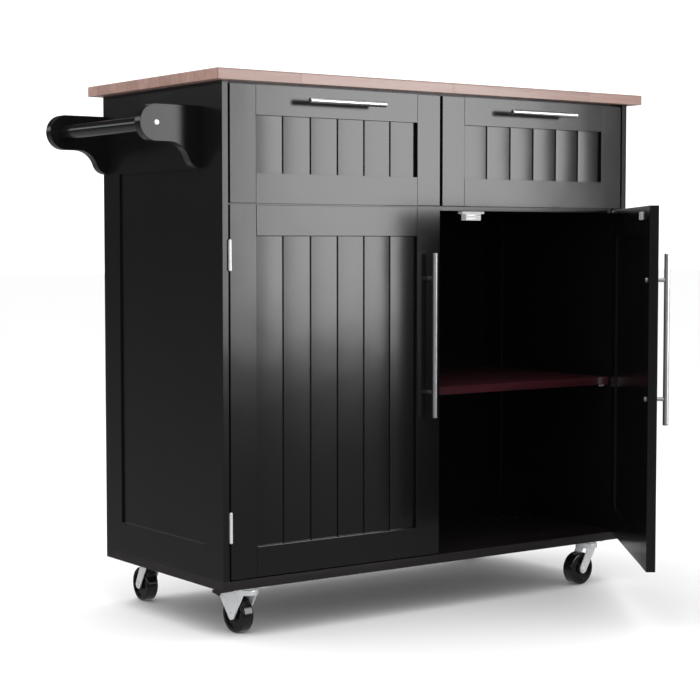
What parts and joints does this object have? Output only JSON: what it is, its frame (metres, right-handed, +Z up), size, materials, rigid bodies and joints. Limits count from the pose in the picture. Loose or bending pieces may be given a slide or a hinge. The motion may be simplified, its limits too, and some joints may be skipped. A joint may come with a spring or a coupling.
{
  "type": "kitchen island cart",
  "caption": "Rolling kitchen island cabinet with a wooden worktop, slatted doors under drawers, bar handles and a side towel bar on swivel casters.",
  "frame": {"origin": "on the floor under the middle of the case, halfway across its width and its depth", "axes": "+Z up, +X to the right as seen from the front, +Y from the front to the back"},
  "size_m": [1.06, 0.7981, 0.955],
  "materials": {
    "wood_top": "satin lacquer",
    "black_paint": "semi-gloss black lacquer",
    "espresso_wood": "dark red-brown lacquer",
    "inner_wood": "clear satin",
    "brushed_steel": "satin brushed",
    "zinc_steel": "bright zinc",
    "white_plastic": "matte",
    "black_tread": "glossy",
    "black_pedal": "satin"
  },
  "bodies": {
    "root": {"worktop": "wood_top", "base_board": "espresso_wood", "left_side_frame": "black_paint", "left_side_panel": "black_paint", "right_side_frame": "black_paint", "right_side_panel": "black_paint", "back_frame": "black_paint", "back_panels": "black_paint", "top_stretchers": "black_paint", "drawer_deck": "black_paint", "drawer_divider": "black_paint", "shelf": "espresso_wood", "shelf_pins": "zinc_steel", "magnetic_catches": "white_plastic", "towel_bracket_front": "black_paint", "towel_bracket_rear": "black_paint", "towel_rod": "black_paint", "towel_rod_bolts": "zinc_steel", "towel_bracket_dowels": "inner_wood", "hinge_case_leaves": "zinc_steel", "slide_cabinet_rails": "zinc_steel", "caster_plates": "zinc_steel", "caster_screws": "zinc_steel", "worktop_screws": "zinc_steel"},
    "drawer_left": {"drawer_left_stiles": "black_paint", "drawer_left_rails": "black_paint", "drawer_left_panel": "black_paint", "drawer_left_handle": "brushed_steel", "drawer_left_slides": "zinc_steel", "drawer_left_box": "inner_wood", "drawer_left_bottom": "inner_wood"},
    "door_left": {"door_left_stiles": "black_paint", "door_left_rails": "black_paint", "door_left_panel": "black_paint", "door_left_handle": "brushed_steel", "door_left_hinge_leaves": "zinc_steel", "door_left_strike_plate": "zinc_steel"},
    "drawer_right": {"drawer_right_stiles": "black_paint", "drawer_right_rails": "black_paint", "drawer_right_panel": "black_paint", "drawer_right_handle": "brushed_steel", "drawer_right_slides": "zinc_steel", "drawer_right_box": "inner_wood", "drawer_right_bottom": "inner_wood"},
    "door_right": {"door_right_stiles": "black_paint", "door_right_rails": "black_paint", "door_right_panel": "black_paint", "door_right_handle": "brushed_steel", "door_right_hinge_leaves": "zinc_steel", "door_right_strike_plate": "zinc_steel"},
    "fork_front_left": {"caster_front_left_fork": "zinc_steel"},
    "wheel_front_left": {"caster_front_left_wheel": "black_tread"},
    "pedal_front_left": {"caster_front_left_pedal": "black_pedal"},
    "fork_front_right": {"caster_front_right_fork": "zinc_steel"},
    "wheel_front_right": {"caster_front_right_wheel": "black_tread"},
    "fork_back_left": {"caster_back_left_fork": "zinc_steel"},
    "wheel_back_left": {"caster_back_left_wheel": "black_tread"},
    "fork_back_right": {"caster_back_right_fork": "zinc_steel"},
    "wheel_back_right": {"caster_back_right_wheel": "black_tread"},
    "pedal_back_right": {"caster_back_right_pedal": "black_pedal"}
  },
  "joints": [
    {"name": "drawer_left_slide", "type": "slide", "parent": "root", "child": "drawer_left", "axis": [0, -1, 0], "range_m": [0, 0.3]},
    {"name": "drawer_right_slide", "type": "slide", "parent": "root", "child": "drawer_right", "axis": [0, -1, 0], "range_m": [0, 0.3]},
    {"name": "door_left_hinge", "type": "hinge", "parent": "root", "child": "door_left", "pos_m": [-0.4485, -0.2108, 0.104], "axis": [0, 0, -1], "range_deg": [0, 165]},
    {"name": "door_right_hinge", "type": "hinge", "parent": "root", "child": "door_right", "pos_m": [0.4485, -0.2108, 0.104], "axis": [0, 0, 1], "range_deg": [-54, 111]},
    {"name": "caster_front_left_swivel", "type": "hinge", "parent": "root", "child": "fork_front_left", "pos_m": [-0.396, -0.174, 0.0795], "axis": [0, 0, 1], "continuous": true},
    {"name": "caster_front_left_roll", "type": "hinge", "parent": "fork_front_left", "child": "wheel_front_left", "pos_m": [-0.39767, -0.15006, 0.0315], "axis": [0.9976, 0.0698, 0], "continuous": true},
    {"name": "caster_front_left_brake", "type": "hinge", "parent": "fork_front_left", "child": "pedal_front_left", "pos_m": [-0.39949, -0.12409, 0.06], "axis": [-0.9976, -0.0698, 0], "range_deg": [0, 15]},
    {"name": "caster_front_right_swivel", "type": "hinge", "parent": "root", "child": "fork_front_right", "pos_m": [0.396, -0.174, 0.0795], "axis": [0, 0, 1], "continuous": true},
    {"name": "caster_front_right_roll", "type": "hinge", "parent": "fork_front_right", "child": "wheel_front_right", "pos_m": [0.37206, -0.17567, 0.0315], "axis": [-0.0698, 0.9976, 0], "continuous": true},
    {"name": "caster_back_left_swivel", "type": "hinge", "parent": "root", "child": "fork_back_left", "pos_m": [-0.396, 0.158, 0.0795], "axis": [0, 0, 1], "continuous": true},
    {"name": "caster_back_left_roll", "type": "hinge", "parent": "fork_back_left", "child": "wheel_back_left", "pos_m": [-0.39516, 0.18199, 0.0315], "axis": [0.9994, -0.0349, 0], "continuous": true},
    {"name": "caster_back_right_swivel", "type": "hinge", "parent": "root", "child": "fork_back_right", "pos_m": [0.396, 0.158, 0.0795], "axis": [0, 0, 1], "continuous": true},
    {"name": "caster_back_right_roll", "type": "hinge", "parent": "fork_back_right", "child": "wheel_back_right", "pos_m": [0.37522, 0.17, 0.0315], "axis": [0.5, 0.866, 0], "continuous": true},
    {"name": "caster_back_right_brake", "type": "hinge", "parent": "fork_back_right", "child": "pedal_back_right", "pos_m": [0.35267, 0.18301, 0.06], "axis": [-0.5, -0.866, 0], "range_deg": [0, 15]}
  ]
}
